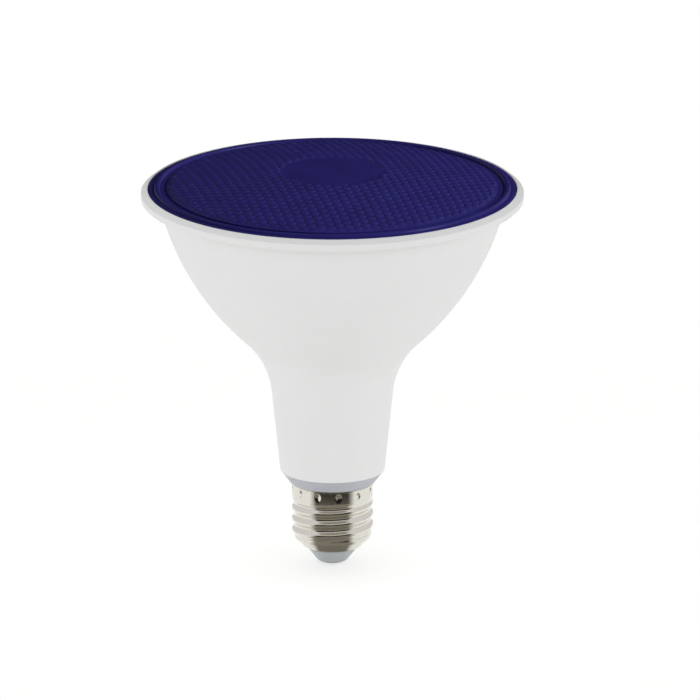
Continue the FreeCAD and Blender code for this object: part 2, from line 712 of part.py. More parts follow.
finished(padded_body("film_capacitor", [
    ("-film_width / 2", "-driver_back - film_depth + film_edge"),
    ("film_edge - film_width / 2", "-driver_back - film_depth"),
    ("film_width / 2 - film_edge", "-driver_back - film_depth"),
    ("film_width / 2", "-driver_back - film_depth + film_edge"),
    ("film_width / 2", "-driver_back"),
    ("-film_width / 2", "-driver_back"),
], "XY_Plane", "transformer_low + film_lift", "film_height"), "film_capacitor")


def flat_chip(label, name, across, low, leg_rows):
    """A flat moulded package on the board's back, with its legs in rows at both sides."""
    parts = [block(label + "_body", f"{name}_width", f"{name}_depth", f"{name}_height", across,
                   f"-driver_back - {name}_depth", low)]
    step = f"{name}_height / {leg_rows}"
    for row in range(leg_rows):
        parts.append(block(f"{label}_legs_{row}", f"{name}_width + 2 * leg_reach", "leg_depth",
                           "leg_width", across, "-driver_back - leg_depth",
                           f"{low} + {step} * {row + 0.5} - leg_width / 2"))
    return finished(joined(label, parts), label)


flat_chip("bridge_rectifier", "bridge", "0", "driver_low + bridge_lift", 2)
flat_chip("driver_chip", "chip", "chip_place", "output_can_low", 4)

fuse = turned_body("fuse_body", [
    ("0", "-fuse_lead_reach"), ("fuse_lead", "-fuse_lead_reach"), ("fuse_lead", "0"),
    ("fuse_radius", "0"), ("fuse_radius", "fuse_length"), ("fuse_lead", "fuse_length"),
    ("fuse_lead", "fuse_length + fuse_lead_reach"), ("0", "fuse_length + fuse_lead_reach"),
])
fuse_back = "-driver_back - fuse_gap - fuse_radius"
place(fuse, "fuse_place", fuse_back, "output_can_low")
fuse_parts = [fuse]
for foot, foot_height in enumerate(("-fuse_lead_reach", "fuse_length + fuse_lead_reach")):
    stem = document.addObject("Part::Cylinder", f"fuse_foot_{foot}")
    bind(stem, Radius="fuse_lead", Height="fuse_gap + fuse_radius")
    stem.Placement = Placement(Vector(), Rotation(Vector(1, 0, 0), -QUARTER_TURN))
    place(stem, "fuse_place", fuse_back, f"output_can_low + {foot_height}")
    fuse_parts.append(stem)
finished(joined("fuse_resistor", fuse_parts), "fuse_resistor")


# Wires: straight runs joined by tangent arcs


def wire_shape(route, radius, bend):
    """A round wire along a route, its corners rounded to the bend radius."""
    edges = []
    start = route[0]
    for before, corner, after in zip(route, route[1:], route[2:]):
        inward = (before - corner).normalize()
        outward = (after - corner).normalize()
        half_angle = inward.getAngle(outward) / 2
        setback = bend / math.tan(half_angle)
        first, last = corner + inward * setback, corner + outward * setback
        bisector = (inward + outward).normalize()
        centre = corner + bisector * (bend / math.sin(half_angle))
        edges.append(Part.makeLine(start, first))
        edges.append(Part.Arc(first, centre - bisector * bend, last).toShape())
        start = last
    edges.append(Part.makeLine(start, route[-1]))
    path = Part.Wire(edges)
    section = Part.Wire(Part.makeCircle(radius, route[0], route[1] - route[0]))
    return path.makePipeShell([section], True, True)


board_middle = -size("driver_front + driver_thickness / 2")
contact_top = size("thread_start + contact_flare_height")
driver_low = size("driver_low")
lead_step = size("lead_step")
plain_feature("contact_wire", wire_shape([
    Vector(0, 0, size("contact_bore_floor")),
    Vector(0, 0, (contact_top + driver_low - lead_step) / 2),
    Vector(0, board_middle, (contact_top + driver_low + lead_step) / 2),
    Vector(0, board_middle, driver_low),
], size("lead_radius"), size("lead_bend")))

shell_reach = size("shell_inner_radius - shell_lead_gap")
shell_lead_end = -math.sqrt(shell_reach ** 2 - board_middle ** 2)
shell_lead_height = size("nose_height - shell_lead_drop")
shell_lead_place = -size("shell_lead_place")
plain_feature("shell_wire", wire_shape([
    Vector(shell_lead_place, board_middle, driver_low),
    Vector(shell_lead_place, board_middle, shell_lead_height),
    Vector(shell_lead_end, board_middle, shell_lead_height),
], size("lead_radius"), size("lead_bend")))

for label, side in (("led_wire_positive", 1), ("led_wire_negative", -1)):
    beside = side * size("lamp_wire_half")
    start_across = side * size("lamp_wire_start")
    driver_high = size("driver_high")
    bend_low = driver_high + size("lamp_wire_rise")
    bend_high = bend_low + size("lamp_wire_slant")
    plug_height = size("board_face + plug_height / 2")
    plain_feature(label, wire_shape([
        Vector(start_across, board_middle, driver_high),
        Vector(start_across, board_middle, bend_low),
        Vector(0, beside, bend_high),
        Vector(0, beside, plug_height),
        Vector(size("plug_place"), beside, plug_height),
    ], size("lamp_wire_radius"), size("lamp_wire_bend")))


# Screw cap: thin rolled shell, insulating tip and centre contact

finished(turned_body("cap_insulator", [
    ("contact_shank + seat_clearance", "tip_height"),
    ("tip_radius - tip_edge", "tip_height", ("tip_bend", 1)),
    ("tip_radius", "tip_height + tip_rise"),
    ("mouth_radius", "mouth_height - tip_slope"),
    ("mouth_radius", "mouth_height"),
    ("mouth_radius - insulator_clearance", "mouth_height"),
    ("mouth_radius - insulator_clearance",
     "mouth_height + shell_wall + insulator_clearance"),
    ("cone_radius - shell_wall - insulator_clearance", "thread_start"),
    ("contact_shank + seat_clearance", "thread_start"),
]), "cap_insulator")

finished(turned_body("centre_contact", [
    ("0", "0"),
    ("contact_face_radius", "0"),
    ("contact_radius", "tip_height - contact_edge"),
    ("contact_radius", "tip_height"),
    ("contact_shank", "tip_height"),
    ("contact_shank", "thread_start"),
    ("contact_flare", "thread_start"),
    ("contact_flare", "thread_start + contact_flare_height"),
    ("contact_bore", "thread_start + contact_flare_height"),
    ("contact_bore", "contact_bore_floor"),
    ("0", "contact_bore_floor"),
]), "centre_contact")


def ramp(share):
    """Runs smoothly from 0 to 1."""
    share = min(max(share, 0.0), 1.0)
    return share * share * (3 - 2 * share)


def thread_radius(angle, height):
    """Outer radius of the rolled right-hand thread at an angle in radians and a height."""
    start, end = size("thread_start"), size("thread_end")
    runout, pitch = size("thread_runout"), size("thread_pitch")
    core = size("thread_core")
    low, high = (height - start) / runout, (end - height) / runout
    mean = core + (size("cone_radius") - core) * ramp(1 - low)
    mean += (size("band_radius") - core) * ramp(1 - high)
    swing = size("thread_depth") / 2 * ramp(low) * ramp(high)
    turn = 2 * math.pi * (height - size("thread_crest_height")) / pitch - angle
    return mean + swing * math.cos(turn)


# The shell's rings are made in quarters, and the thread's surface passes through rows of
# spots, so many to each turn of the thread and so many columns to each quarter.
QUARTERS = 4
ROWS_A_TURN = 8
COLUMNS = 3


def quarter_arcs(radius, height):
    """A level circle as four arcs."""
    circle = Part.Circle(Vector(0, 0, height), AXIS, radius)
    step = 2 * math.pi / QUARTERS
    return [Part.ArcOfCircle(circle, step * quarter, step * (quarter + 1)).toShape()
            for quarter in range(QUARTERS)]


def thread_skin(inset):
    """The thread's surface moved inwards by inset, with its lower and upper edges."""
    start, length = size("thread_start"), size("thread_length")
    rows = round(ROWS_A_TURN * length / size("thread_pitch"))
    grid = []
    for column in range(QUARTERS * COLUMNS + 1):
        angle = 2 * math.pi * column / (QUARTERS * COLUMNS)
        line = []
        for row in range(rows + 1):
            height = start + length * row / rows
            radius = thread_radius(angle, height) - inset
            line.append(Vector(radius * math.cos(angle), radius * math.sin(angle), height))
        grid.append(line)
    surface = Part.BSplineSurface()
    surface.interpolate(grid)
    first, last, low, high = surface.bounds()
    breaks = [surface.parameter(grid[COLUMNS * quarter][0])[0] for quarter in range(QUARTERS)]
    breaks = [first] + breaks[1:] + [last]
    faces, low_edges, high_edges = [], [], []
    for start_break, end_break in zip(breaks, breaks[1:]):
        faces.append(surface.toShape(start_break, end_break, low, high))
        low_edges.append(surface.vIso(low).toShape(start_break, end_break))
        high_edges.append(surface.vIso(high).toShape(start_break, end_break))
    return faces, low_edges, high_edges


def ruled_rings(rings):
    """Faces from ring to ring, each ring given as its four arcs."""
    return [Part.makeRuledSurface(edge, next_edge)
            for ring, next_ring in zip(rings, rings[1:])
            for edge, next_edge in zip(ring, next_ring)]


def cap_shell_shape():
    """A sheet shell: curled mouth, cone, rolled thread, plain band and top bead, with
    punch marks that hold it on the cup."""
    wall = size("shell_wall")
    mouth, band = size("mouth_radius"), size("band_radius")
    mouth_height, top = size("mouth_height"), size("cap_height")
    curl, curl_height = size("mouth_radius + curl_width"), size("mouth_height + curl_height")
    swell, bead, bead_corner = size("bead_swell"), size("bead_height"), size("bead_corner")
    outer, outer_low, outer_high = thread_skin(0)
    inner, inner_low, inner_high = thread_skin(wall)
    faces = outer + inner
    faces += ruled_rings([inner_low, quarter_arcs(curl - wall / 2, curl_height + wall),
                          quarter_arcs(mouth, mouth_height + wall),
                          quarter_arcs(mouth, mouth_height),
                          quarter_arcs(curl, curl_height), outer_low])
    faces += ruled_rings([outer_high, quarter_arcs(band, top - bead),
                          quarter_arcs(band + swell, top - bead + bead_corner),
                          quarter_arcs(band + swell, top - bead_corner),
                          quarter_arcs(band + swell / 2, top),
                          quarter_arcs(band - wall, top), inner_high])
    shell = closed_solid(faces)
    radius, depth, taper = size("stake_radius"), size("stake_depth"), size("stake_taper")
    height = size("stake_height")
    for index in range(round(size("stake_count"))):
        angle = size("stake_turn") + FULL_TURN * index / size("stake_count")
        boss = Part.makeCone(radius + taper, radius, wall + depth,
                             Vector(band - wall / 2, 0, height), Vector(-1, 0, 0))
        dent = Part.makeCone(radius, radius - taper, 2 * depth,
                             Vector(band + depth, 0, height), Vector(-1, 0, 0))
        for tool in (boss, dent):
            tool.rotate(Vector(), AXIS, angle)
        shell = shell.fuse(boss).cut(dent)
    return shell.Solids[0]


plain_feature("cap_shell", cap_shell_shape())

document.recompute()

for item in document.Objects:
    if "Invalid" in item.State or "Error" in item.State:
        raise RuntimeError(f"{item.Label} failed: {item.State}")
for piece in pieces:
    if piece.Shape.isNull() or not piece.Shape.isValid() or piece.Shape.Volume <= 0:
        raise RuntimeError(f"{piece.Label} has no valid solid")

os.makedirs("parts", exist_ok=True)
for piece in pieces:
    piece.Shape.exportStep(f"parts/{piece.Label}.step")
    print(piece.Label, len(piece.Shape.Solids), round(piece.Shape.Volume, 1))
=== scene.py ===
import math

import bmesh
import bpy
from mathutils import Matrix, Vector


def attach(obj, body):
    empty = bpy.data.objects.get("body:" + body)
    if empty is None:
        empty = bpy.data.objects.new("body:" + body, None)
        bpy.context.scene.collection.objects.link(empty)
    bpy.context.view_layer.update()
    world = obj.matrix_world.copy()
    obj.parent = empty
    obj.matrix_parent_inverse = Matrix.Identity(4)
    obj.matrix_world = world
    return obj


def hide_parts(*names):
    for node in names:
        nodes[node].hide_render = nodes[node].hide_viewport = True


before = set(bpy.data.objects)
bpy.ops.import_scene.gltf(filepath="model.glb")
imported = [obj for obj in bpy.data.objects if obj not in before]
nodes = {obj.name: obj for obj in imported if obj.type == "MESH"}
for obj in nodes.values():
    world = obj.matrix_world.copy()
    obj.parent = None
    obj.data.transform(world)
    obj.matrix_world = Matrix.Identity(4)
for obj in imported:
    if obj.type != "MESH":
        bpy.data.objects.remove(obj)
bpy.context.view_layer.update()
print("frame loaded:", len(nodes), "nodes")


# lowest and highest point of a node along an axis, 0 to 2
def reach(nodeName, axis):
    places = [corner[axis] for corner in nodes[nodeName].bound_box]
    return min(places), max(places)


rimTop = reach("housing", 2)[1]


# sRGB hex to the linear colour that a shader takes
def toLinear(hexColour):
    channels = [int(hexColour[place:place + 2], 16) / 255 for place in (1, 3, 5)]
    linear = [c / 12.92 if c <= 0.04045 else ((c + 0.055) / 1.055) ** 2.4 for c in channels]
    return (*linear, 1.0)


# adds a node; its inputs are numbers, colours or the sockets that feed it
def addNode(tree, kind, inputs=None, **settings):
    node = tree.nodes.new(kind)
    for name, value in settings.items():
        setattr(node, name, value)
    for name, value in (inputs or {}).items():
        if isinstance(value, bpy.types.NodeSocket):
            tree.links.new(value, node.inputs[name])
        else:
            node.inputs[name].default_value = value
    return node


def newMaterial(name):
    material = bpy.data.materials.new(name)
    material.use_nodes = True
    material.node_tree.nodes.clear()
    return material, material.node_tree


# where a noise passes from one tone to the other, how much finer detail it has, and how many
# grains wide a soft cloud is
toneStops = (0.35, 0.65)
grainDetail = 3.0
cloudGrains = 12
# the least and the most roughness of worn metal, as shares of its own
wearShares = (0.8, 1.2)


def setRamp(ramp, stops):
    for element, (position, hexColour) in zip(ramp.color_ramp.elements, stops):
        element.position = position
        element.color = toLinear(hexColour)


# the camera stands far off, as for a catalogue picture, so depth hardly shows
camera = {
    "width": 700,
    "pixelsPerMetre": 3139,      # across, at the lamp's axis
    "axisPixel": 332.4,          # the lamp's axis in the photograph, from the left
    "rimPixel": 188.4,           # centre of the rim's top plane, from the top
    "elevation": 15.95,          # degrees above the rim plane, on the line to the rim
    "distance": 8.0,
    "sensor": 36.0,
    "clip": (0.1, 30.0),
}


def photoCamera():
    data = bpy.data.cameras.new("photoCamera")
    data.sensor_width = camera["sensor"]
    data.lens = (camera["pixelsPerMetre"] * camera["distance"] * camera["sensor"]
                 / camera["width"])
    data.clip_start, data.clip_end = camera["clip"]
    shooter = bpy.data.objects.new("photoCamera", data)
    bpy.context.scene.collection.objects.link(shooter)
    middle = camera["width"] / 2
    shiftRight = (middle - camera["axisPixel"]) / camera["pixelsPerMetre"]
    shiftDown = (middle - camera["rimPixel"]) / camera["pixelsPerMetre"]
    rise = math.radians(camera["elevation"]) + math.atan(shiftDown / camera["distance"])
    back = Vector((0, -math.cos(rise), math.sin(rise)))
    top = Vector((0, math.sin(rise), math.cos(rise)))
    right = Vector((1, 0, 0))
    spot = Vector((0, 0, rimTop)) + back * camera["distance"]
    spot += right * shiftRight - top * shiftDown
    turn = Matrix((right, top, back)).transposed().to_4x4()
    shooter.matrix_world = Matrix.Translation(spot) @ turn
    bpy.context.scene.camera = shooter


photoCamera()
bpy.context.scene.view_settings.view_transform = "Standard"
print("camera in place")


floor = {
    "size": 24.0,
    "paper": ("#E4E4E3", "#E6E6E5"),
    "fibreMm": 1.5,
    "glow": 0.47,                # on top of what the studio's light gives the paper
    "bounce": 0.30,              # what of it falls back on dull surfaces
}


# pale paper, lit from below as a sweep table is, and clear to a camera under it
def studioFloor():
    bpy.ops.object.select_all(action="DESELECT")
    bpy.ops.mesh.primitive_plane_add(size=floor["size"], location=(0, 0, 0))
    sheet = bpy.context.object
    sheet.name = "floor"
    material, tree = newMaterial("paleStudioPaper")
    place = addNode(tree, "ShaderNodeTexCoord")
    fibre = addNode(tree, "ShaderNodeTexNoise", {
        "Vector": place.outputs["Object"], "Scale": 1000 / floor["fibreMm"]})
    tone = addNode(tree, "ShaderNodeValToRGB", {"Fac": fibre.outputs["Fac"]})
    setRamp(tone, zip(toneStops, floor["paper"]))
    paper = addNode(tree, "ShaderNodeBsdfDiffuse", {"Color": tone.outputs["Color"]})
    path = addNode(tree, "ShaderNodeLightPath")
    strength = addNode(tree, "ShaderNodeMapRange", {
        "Value": path.outputs["Is Diffuse Ray"], "To Min": floor["glow"],
        "To Max": floor["bounce"]})
    glow = addNode(tree, "ShaderNodeEmission", {"Strength": strength.outputs["Result"]})
    lit = addNode(tree, "ShaderNodeAddShader", {0: paper.outputs[0], 1: glow.outputs[0]})
    side = addNode(tree, "ShaderNodeNewGeometry")
    below = addNode(tree, "ShaderNodeMath", {
        0: side.outputs["Backfacing"], 1: path.outputs["Is Camera Ray"]}, operation="MULTIPLY")
    clear = addNode(tree, "ShaderNodeBsdfTransparent")
    shown = addNode(tree, "ShaderNodeMixShader", {
        "Fac": below.outputs[0], 1: lit.outputs[0], 2: clear.outputs[0]})
    addNode(tree, "ShaderNodeOutputMaterial", {"Surface": shown.outputs[0]})
    sheet.data.materials.append(material)


walls = {
    "low": 1.45,                 # strength at the height of the lamp
    "high": 0.55,                # and overhead
    "edge": (0.40, 0.80),        # sine of the height between the two
    "shown": 1.0,                # what the camera and polished pieces see of it
}


# soft light all round, less from overhead, and a white backdrop
def studioWalls():
    world = bpy.data.worlds.new("studioWalls")
    bpy.context.scene.world = world
    world.use_nodes = True
    tree = world.node_tree
    tree.nodes.clear()
    place = addNode(tree, "ShaderNodeTexCoord")
    parts = addNode(tree, "ShaderNodeSeparateXYZ", {"Vector": place.outputs["Generated"]})
    soft = addNode(tree, "ShaderNodeMapRange", {
        "Value": parts.outputs["Z"], "From Min": walls["edge"][0], "From Max": walls["edge"][1],
        "To Min": walls["low"], "To Max": walls["high"]}, interpolation_type="SMOOTHSTEP")
    path = addNode(tree, "ShaderNodeLightPath")
    seen = addNode(tree, "ShaderNodeMapRange", {
        "Value": path.outputs["Is Diffuse Ray"], "To Min": walls["shown"],
        "To Max": soft.outputs["Result"]})
    light = addNode(tree, "ShaderNodeBackground", {"Strength": seen.outputs["Result"]})
    addNode(tree, "ShaderNodeOutputWorld", {"Surface": light.outputs[0]})


cardSides = 180
# metres from the lamp's foot at which a card passes from its first tone to its second
cardToneReach = (0.070, 0.098)
# a card starts this far from its middle unless it says otherwise
cardInner = 0.001

# painted reflections: dark sheets with soft edges that only polished pieces see and that cast
# no shade, standing for a still-life studio's dark surroundings; each fills a wedge about the
# lamp, and its tone runs from near the lamp to farther off
paintedReflectionCards = [
    {"name": "frontCard", "radius": 1.5, "span": (0.0, 0.95), "facing": -90,
     "halfWedge": (46, 60), "tones": ("#1C1A18", "#1C1A18")},
    # painted shadow in reflections: the floor in shade under and before the lamp, brownish grey
    # near its foot and dark farther off
    {"name": "floorCard", "radius": 1.5, "height": 0.0004, "facing": -90,
     "halfWedge": (40, 66), "tones": ("#A39D91", "#2E2B28")},
    {"name": "ceilingCard", "radius": 1.5, "height": 1.5, "facing": -90,
     "halfWedge": (40, 66), "tones": ("#A39D91", "#A39D91")},
    {"name": "backCard", "radius": 2.5, "span": (0.0, 3.4), "facing": 90,
     "halfWedge": (16, 30), "tones": ("#181818", "#181818")},
    {"name": "backFloorCard", "radius": 2.5, "height": 0.0004, "facing": 90, "inner": 0.3,
     "halfWedge": (16, 30), "tones": ("#181818", "#181818")},
]


# paints a reflection: a sheet seen only by glossy rays, hidden from the camera, from dull
# surfaces and from shadows
def paintedReflectionCard(card):
    bpy.ops.object.select_all(action="DESELECT")
    if "span" in card:
        bottom, top = card["span"]
        bpy.ops.mesh.primitive_cylinder_add(
            vertices=cardSides, radius=card["radius"], depth=top - bottom,
            end_fill_type="NOTHING", location=(0, 0, (bottom + top) / 2))
    else:
        bpy.ops.mesh.primitive_circle_add(vertices=cardSides, radius=card["radius"],
                                          fill_type="NGON", location=(0, 0, card["height"]))
    sheet = bpy.context.object
    sheet.name = card["name"]
    sheet.rotation_euler.z = math.radians(card["facing"])
    sheet.visible_camera = False
    sheet.visible_diffuse = False
    sheet.visible_transmission = False
    sheet.visible_shadow = False
    material, tree = newMaterial(card["name"] + "PaintedReflection")
    place = addNode(tree, "ShaderNodeTexCoord")
    parts = addNode(tree, "ShaderNodeSeparateXYZ", {"Vector": place.outputs["Object"]})
    around = addNode(tree, "ShaderNodeMath", {
        0: parts.outputs["Y"], 1: parts.outputs["X"]}, operation="ARCTAN2")
    aside = addNode(tree, "ShaderNodeMath", {0: around.outputs[0]}, operation="ABSOLUTE")
    wedge = addNode(tree, "ShaderNodeMapRange", {
        "Value": aside.outputs[0], "From Min": math.radians(card["halfWedge"][0]),
        "From Max": math.radians(card["halfWedge"][1]), "To Min": 1.0, "To Max": 0.0},
        interpolation_type="SMOOTHSTEP")
    away = addNode(tree, "ShaderNodeVectorMath", {0: place.outputs["Object"]},
                   operation="LENGTH")
    inner = card.get("inner", cardInner)
    start = addNode(tree, "ShaderNodeMapRange", {
        "Value": away.outputs["Value"], "From Min": inner / 2, "From Max": inner},
        interpolation_type="SMOOTHSTEP")
    cover = addNode(tree, "ShaderNodeMath", {
        0: wedge.outputs["Result"], 1: start.outputs["Result"]}, operation="MULTIPLY")
    tone = addNode(tree, "ShaderNodeValToRGB", {"Fac": away.outputs["Value"]})
    setRamp(tone, zip(cardToneReach, card["tones"]))
    # the tone of the painted reflection
    paintedReflection = addNode(tree, "ShaderNodeBsdfDiffuse", {"Color": tone.outputs["Color"]})
    clear = addNode(tree, "ShaderNodeBsdfTransparent")
    shown = addNode(tree, "ShaderNodeMixShader", {
        "Fac": cover.outputs[0], 1: clear.outputs[0], 2: paintedReflection.outputs[0]})
    addNode(tree, "ShaderNodeOutputMaterial", {"Surface": shown.outputs[0]})
    sheet.data.materials.append(material)


studioFloor()
studioWalls()
for card in paintedReflectionCards:
    paintedReflectionCard(card)
print("studio set")


# Moulded, dipped or cast surfaces: two close tones in soft clouds and a fine grain, whose
# sizes are in millimetres.
def mouldedFinish(name, tones, rough, grainMm, bumpMm, specular=0.5):
    material, tree = newMaterial(name)
    place = addNode(tree, "ShaderNodeTexCoord")
    cloud = addNode(tree, "ShaderNodeTexNoise", {
        "Vector": place.outputs["Object"], "Scale": 1000 / (grainMm * cloudGrains)})
    tone = addNode(tree, "ShaderNodeValToRGB", {"Fac": cloud.outputs["Fac"]})
    setRamp(tone, zip(toneStops, tones))
    grain = addNode(tree, "ShaderNodeTexNoise", {
        "Vector": place.outputs["Object"], "Scale": 1000 / grainMm, "Detail": grainDetail})
    bump = addNode(tree, "ShaderNodeBump", {
        "Height": grain.outputs["Fac"], "Distance": bumpMm / 1000})
    shader = addNode(tree, "ShaderNodeBsdfPrincipled", {
        "Base Color": tone.outputs["Color"], "Roughness": rough,
        "Specular IOR Level": specular, "Normal": bump.outputs["Normal"]})
    addNode(tree, "ShaderNodeOutputMaterial", {"Surface": shader.outputs[0]})
    return material


# the normal of sheet drawn in round a ring of punch marks: each mark is a shallow oval dent
def dentedNormal(tree, place, count, turn, height, halfWidth, halfHeight, depthMm):
    parts = addNode(tree, "ShaderNodeSeparateXYZ", {"Vector": place.outputs["Object"]})
    around = addNode(tree, "ShaderNodeMath", {
        0: parts.outputs["Y"], 1: parts.outputs["X"]}, operation="ARCTAN2")
    turned = addNode(tree, "ShaderNodeMath", {
        0: around.outputs[0], 1: math.radians(turn)}, operation="SUBTRACT")
    step = 2 * math.pi / count
    nearest = addNode(tree, "ShaderNodeMath", {
        0: turned.outputs[0], 1: step / 2, 2: -step / 2}, operation="WRAP")
    radius = reach("cap_shell", 0)[1]
    aside = addNode(tree, "ShaderNodeMath", {
        0: nearest.outputs[0], 1: radius / halfWidth}, operation="MULTIPLY")
    above = addNode(tree, "ShaderNodeMapRange", {
        "Value": parts.outputs["Z"], "From Min": height, "From Max": height + halfHeight},
        clamp=False)
    spot = addNode(tree, "ShaderNodeCombineXYZ", {
        "X": aside.outputs[0], "Y": above.outputs["Result"]})
    away = addNode(tree, "ShaderNodeVectorMath", {0: spot.outputs[0]}, operation="LENGTH")
    dent = addNode(tree, "ShaderNodeMapRange", {
        "Value": away.outputs["Value"]}, interpolation_type="SMOOTHSTEP")
    bump = addNode(tree, "ShaderNodeBump", {
        "Height": dent.outputs["Result"], "Distance": depthMm / 1000})
    return bump.outputs["Normal"]


# Bare, plated or drawn metal; the stretch draws its grain out along the axes.
def metalFinish(name, tones, rough, grainMm, bumpMm, stretch=(1.0, 1.0, 1.0), dents=None):
    material, tree = newMaterial(name)
    place = addNode(tree, "ShaderNodeTexCoord")
    drawn = addNode(tree, "ShaderNodeMapping", {
        "Vector": place.outputs["Object"], "Scale": stretch})
    grain = addNode(tree, "ShaderNodeTexNoise", {
        "Vector": drawn.outputs["Vector"], "Scale": 1000 / grainMm, "Detail": grainDetail})
    tone = addNode(tree, "ShaderNodeValToRGB", {"Fac": grain.outputs["Fac"]})
    setRamp(tone, zip(toneStops, tones))
    wear = addNode(tree, "ShaderNodeMapRange", {
        "Value": grain.outputs["Fac"], "To Min": rough * wearShares[0],
        "To Max": rough * wearShares[1]})
    relief = {"Height": grain.outputs["Fac"], "Distance": bumpMm / 1000}
    if dents:
        relief["Normal"] = dentedNormal(tree, place, **dents)
    bump = addNode(tree, "ShaderNodeBump", relief)
    shader = addNode(tree, "ShaderNodeBsdfPrincipled", {
        "Base Color": tone.outputs["Color"], "Metallic": 1.0,
        "Roughness": wear.outputs["Result"], "Normal": bump.outputs["Normal"]})
    addNode(tree, "ShaderNodeOutputMaterial", {"Surface": shader.outputs[0]})
    return material


# gives nodes of the frame their material
def dress(material, *nodeNames):
    for nodeName in nodeNames:
        node = nodes[nodeName]
        if not node.material_slots:
            node.data.materials.append(material)
        for slot in node.material_slots:
            slot.material = material


# The lens stands for its CAD node: cells on the same rows but as soft cushions, the smooth
# disc, and the groove and bead at the edge. Sizes in metres.
lens = {
    "pitch": 0.00327,            # from cell to cell
    "turn": -17.5,               # of the rows, in degrees
    "cushion": ((0.00014, 0.00016), (0.00030, 0.00020), (0.00040, 0.00014)),  # inset, rise
    "cornersOffDisc": 3,         # a cell has at least so many corners outside the disc
    "cornersInField": 4,         # and so many inside the end of the cells
    "weld": 0.00002,             # corners nearer than this become one
    "edgeGap": 0.00015,          # from an edge of the field to the cushions beside it
    "edgeReach": 0.0018,         # how far from it the cells are squeezed to fit
    "discRadius": 0.0155,
    "discRings": 3,
    "fieldMargin": 0.0058,       # from the lens's edge to the end of the cells
    "sag": 0.00565,              # of the dome, down to that end
    "beadInset": 0.0028,
    "beadWidth": 0.0020,
    "beadRise": 0.0009,
    "beadSteps": 10,
    "corner": 0.0004,
    "cornerMiddle": 0.3,         # share of the corner that its middle point stays in
    "edgeRise": 0.0018,          # height of the plain edge
    "wall": 0.0023,
    "footRise": 0.00035,
    "innerRings": 6,
    "smoothTo": 38,              # degrees between faces that still shade as one
    "tones": ("#171442", "#191647"),
    "cloudMm": 9.0,
    "rough": 0.32,
    "refraction": 1.58,
    "specular": 0.02,
}
lensRadius = reach("front_lens", 0)[1]
lensBottom, lensTop = reach("front_lens", 2)
fieldRadius = lensRadius - lens["fieldMargin"]
domeBend = (fieldRadius ** 2 + lens["sag"] ** 2) / (2 * lens["sag"])


def domeHeight(radius, drop=0.0):
    bend = domeBend - drop
    return lensTop - drop - bend + math.sqrt(bend ** 2 - radius ** 2)


# one cell: a six-sided face, inset and raised in steps
def lensCell():
    corner = lens["pitch"] / math.sqrt(3)
    bpy.ops.object.select_all(action="DESELECT")
    bpy.ops.mesh.primitive_circle_add(vertices=6, radius=corner, fill_type="NGON",
                                      location=(0, 0, 0))
    cell = bpy.context.object
    bpy.ops.object.mode_set(mode="EDIT")
    bpy.ops.mesh.select_all(action="SELECT")
    for inset, rise in lens["cushion"]:
        bpy.ops.mesh.inset(thickness=inset, depth=0)
        bpy.ops.transform.translate(value=(0, 0, rise))
    bpy.ops.object.mode_set(mode="OBJECT")
    return cell


# the places of the cells: rows on a six-sided lattice between the disc and the groove
def cellSpots():
    pitch, turn = lens["pitch"], math.radians(lens["turn"])
    corner = pitch / math.sqrt(3)
    span = math.ceil(2 * fieldRadius / pitch)
    spots = []
    for row in range(-span, span + 1):
        for column in range(-span, span + 1):
            flat = Vector((pitch * (column + row / 2), pitch * math.sqrt(3) / 2 * row, 0))
            spot = Matrix.Rotation(turn, 3, "Z") @ flat
            corners = [spot + Matrix.Rotation(turn + math.radians(60 * side + 30), 3, "Z")
                       @ Vector((corner, 0, 0)) for side in range(6)]
            beyondDisc = sum(place.length > lens["discRadius"] for place in corners)
            withinField = sum(place.length < fieldRadius for place in corners)
            if (beyondDisc >= lens["cornersOffDisc"]
                    and withinField >= lens["cornersInField"]):
                spots.append(spot)
    return spots


# squeezes the cushions beside the disc and the groove, so that none crosses the edge
def squeezed(away):
    gap, stretch = lens["edgeGap"], lens["edgeReach"]
    slope = (stretch - gap) / (2 * stretch)
    inward = away - lens["discRadius"]
    outward = fieldRadius - away
    if inward < stretch:
        return lens["discRadius"] + gap + max(inward + stretch, 0) * slope
    if outward < stretch:
        return fieldRadius - gap - max(outward + stretch, 0) * slope
    return away


# joins a copy of the cell at each spot, and draws the cells beside the disc and the groove to
# a true circle
def cellField():
    cell = lensCell()
    spin = Matrix.Rotation(math.radians(lens["turn"]), 4, "Z")
    copies = []
    for spot in cellSpots():
        copy = cell.copy()
        copy.data = cell.data.copy()
        copy.data.transform(Matrix.Translation(spot) @ spin)
        bpy.context.scene.collection.objects.link(copy)
        copies.append(copy)
    bpy.data.objects.remove(cell)
    bpy.ops.object.select_all(action="DESELECT")
    for copy in copies:
        copy.select_set(True)
    bpy.context.view_layer.objects.active = copies[0]
    bpy.ops.object.join()
    field = bpy.context.object
    for vertex in field.data.vertices:
        away = math.hypot(vertex.co.x, vertex.co.y)
        target = squeezed(away)
        vertex.co.x *= target / away
        vertex.co.y *= target / away
        vertex.co.z += domeHeight(target)
    bpy.ops.object.mode_set(mode="EDIT")
    bpy.ops.mesh.select_all(action="SELECT")
    bpy.ops.mesh.remove_doubles(threshold=lens["weld"])
    cage = bmesh.from_edit_mesh(field.data)
    for vertex in cage.verts:
        if vertex.is_boundary:
            away = math.hypot(vertex.co.x, vertex.co.y)
            atDisc = away < (lens["discRadius"] + fieldRadius) / 2
            target = lens["discRadius"] if atDisc else fieldRadius
            vertex.co.x *= target / away
            vertex.co.y *= target / away
            vertex.co.z = domeHeight(target)
    bmesh.update_edit_mesh(field.data)
    return field


